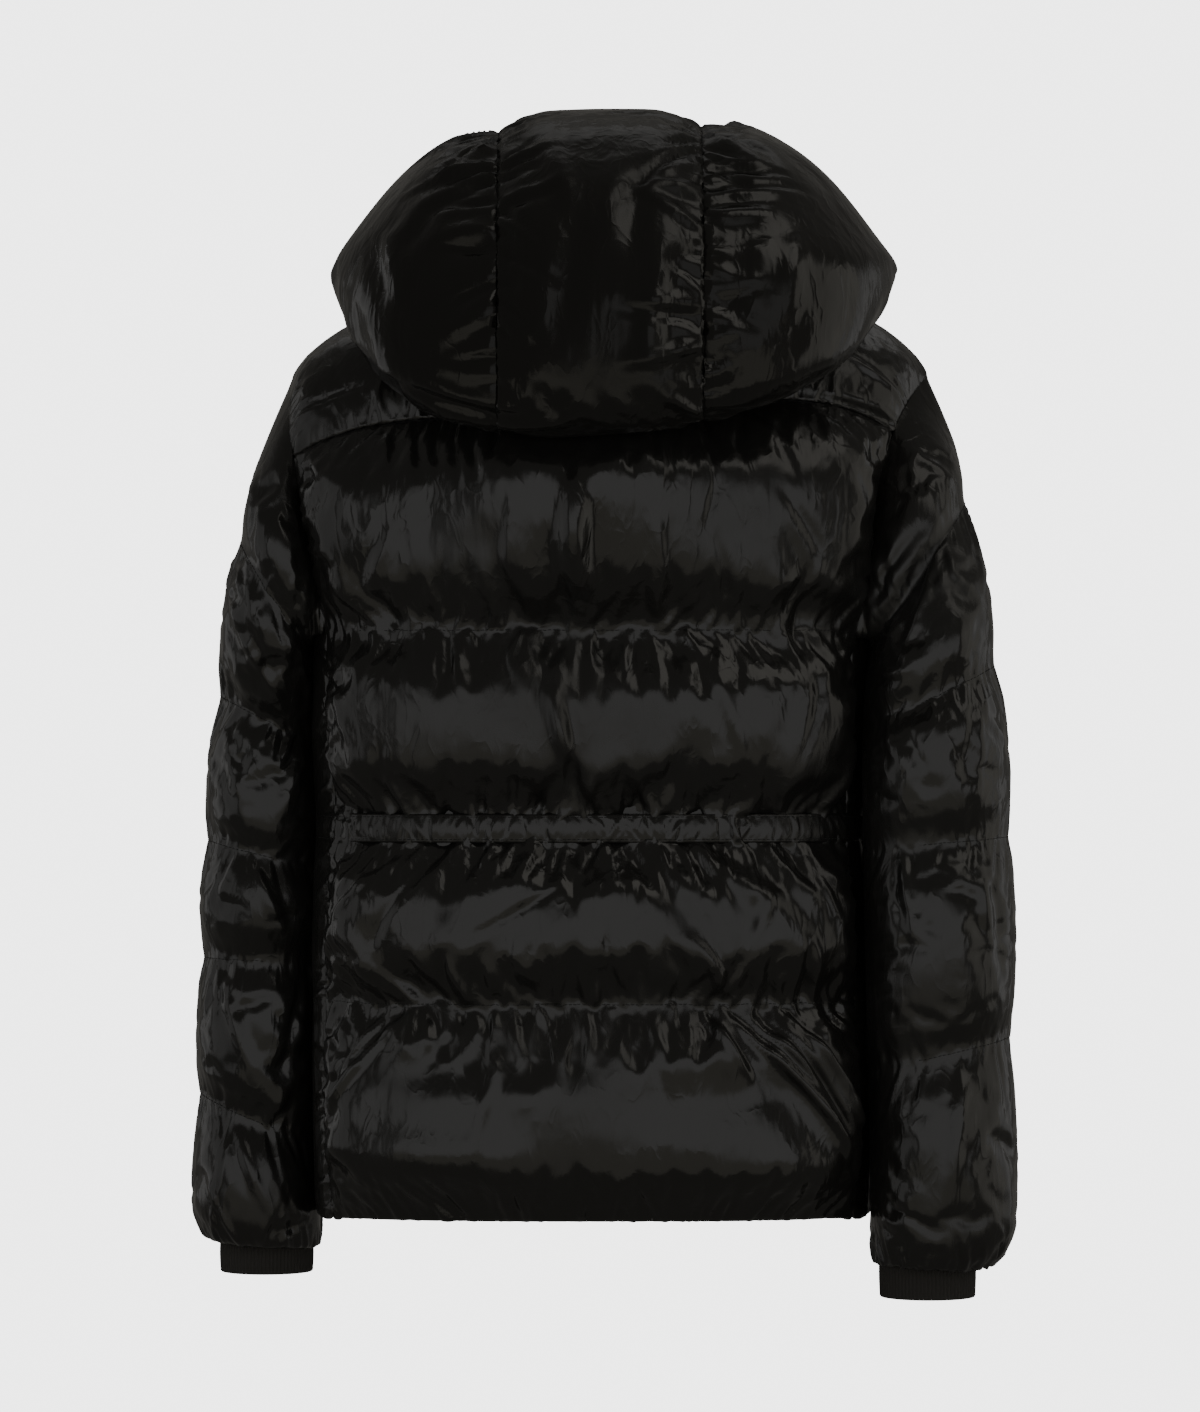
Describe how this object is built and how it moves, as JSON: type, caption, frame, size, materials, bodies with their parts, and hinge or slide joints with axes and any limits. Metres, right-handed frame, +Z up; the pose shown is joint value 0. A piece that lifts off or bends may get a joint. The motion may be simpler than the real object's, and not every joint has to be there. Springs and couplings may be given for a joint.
{
  "type": "puffer jacket",
  "caption": "Black glossy hooded puffer jacket with quilted baffles, a waist drawcord channel, rib knit cuffs and a front zip, filled out as if worn but hollow",
  "frame": {"origin": "mount worn_on_shoulders: the middle of the neck opening at the level of the shoulders, where the wearer holds the jacket up", "axes": "+Z up, +Y towards the jacket's back, +X towards the wearer's left"},
  "size_m": [0.5992, 0.3435, 0.8484],
  "materials": {
    "nylon": "wet-look glossy woven nylon over synthetic filling",
    "rib_knit": "matt rib knit",
    "zip_tape": "matt woven tape",
    "zip_chain": "satin moulded teeth",
    "zip_metal": "satin black enamel"
  },
  "bodies": {
    "garment": {"back_panel": "nylon", "yoke": "nylon", "side_panel_left": "nylon", "side_panel_right": "nylon", "front_left": "nylon", "front_right": "nylon", "waist_channel": "nylon", "sleeve_left": "nylon", "sleeve_right": "nylon", "hood_centre": "nylon", "hood_side_left": "nylon", "hood_side_right": "nylon", "cuff_left": "rib_knit", "cuff_right": "rib_knit", "zip_tape_left": "zip_tape", "zip_tape_right": "zip_tape", "zip_chain": "zip_chain", "zip_slider": "zip_metal"},
    "pull": {"zip_pull": "zip_metal"}
  },
  "joints": [
    {"name": "pull_hinge", "type": "hinge", "parent": "garment", "child": "pull", "pos_m": [0, -0.0916, -0.07404], "axis": [-1, 0, 0], "range_deg": [0, 165]}
  ]
}
